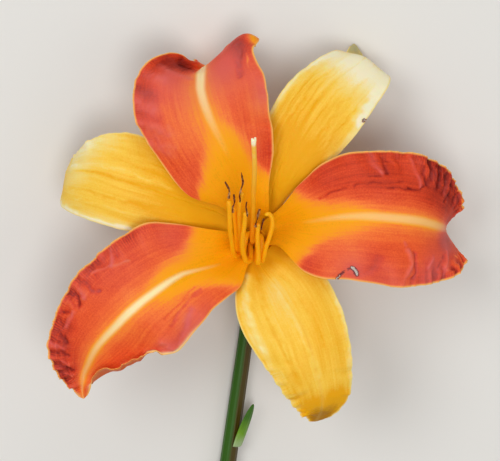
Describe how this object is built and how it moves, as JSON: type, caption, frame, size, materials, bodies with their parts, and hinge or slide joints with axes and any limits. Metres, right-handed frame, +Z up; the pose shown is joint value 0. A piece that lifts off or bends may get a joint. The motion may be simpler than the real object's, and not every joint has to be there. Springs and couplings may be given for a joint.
{
  "type": "daylily flower",
  "caption": "Cut daylily bloom with ruffled red petals over yellow sepals, a short tube, stamens, a pistil and a cut stem, laid on its side on a surface.",
  "frame": {"origin": "centre of the bounding box, on the surface that the flower rests on", "axes": "+Z up from the surface, +Y from the stem's cut end towards the bloom, +X to the bloom's right as seen from above"},
  "size_m": [0.1238, 0.1786, 0.0638],
  "materials": {
    "petal_red": "living petal, satin with a fine velvety sheen",
    "sepal_yellow": "living sepal, satin",
    "tube_yellow": "living flower tube, satin",
    "filament_gold": "living filament, satin",
    "anther_brown": "dried anther, matte and crumpled",
    "style_cream": "living style, satin",
    "stem_green": "living stem, waxy satin",
    "bract_green": "small leaf, waxy satin"
  },
  "bodies": {
    "root": {"stem": "stem_green", "bract": "bract_green", "perianth_tube": "tube_yellow", "petal_upper_left": "petal_red", "petal_right": "petal_red", "petal_lower_left": "petal_red", "sepal_bottom": "sepal_yellow", "sepal_left": "sepal_yellow", "sepal_upper_right": "sepal_yellow", "filament_1": "filament_gold", "filament_2": "filament_gold", "filament_3": "filament_gold", "filament_4": "filament_gold", "filament_5": "filament_gold", "filament_6": "filament_gold", "anther_1": "anther_brown", "anther_2": "anther_brown", "anther_3": "anther_brown", "anther_4": "anther_brown", "anther_5": "anther_brown", "anther_6": "anther_brown", "pistil": "style_cream"}
  },
  "joints": []
}
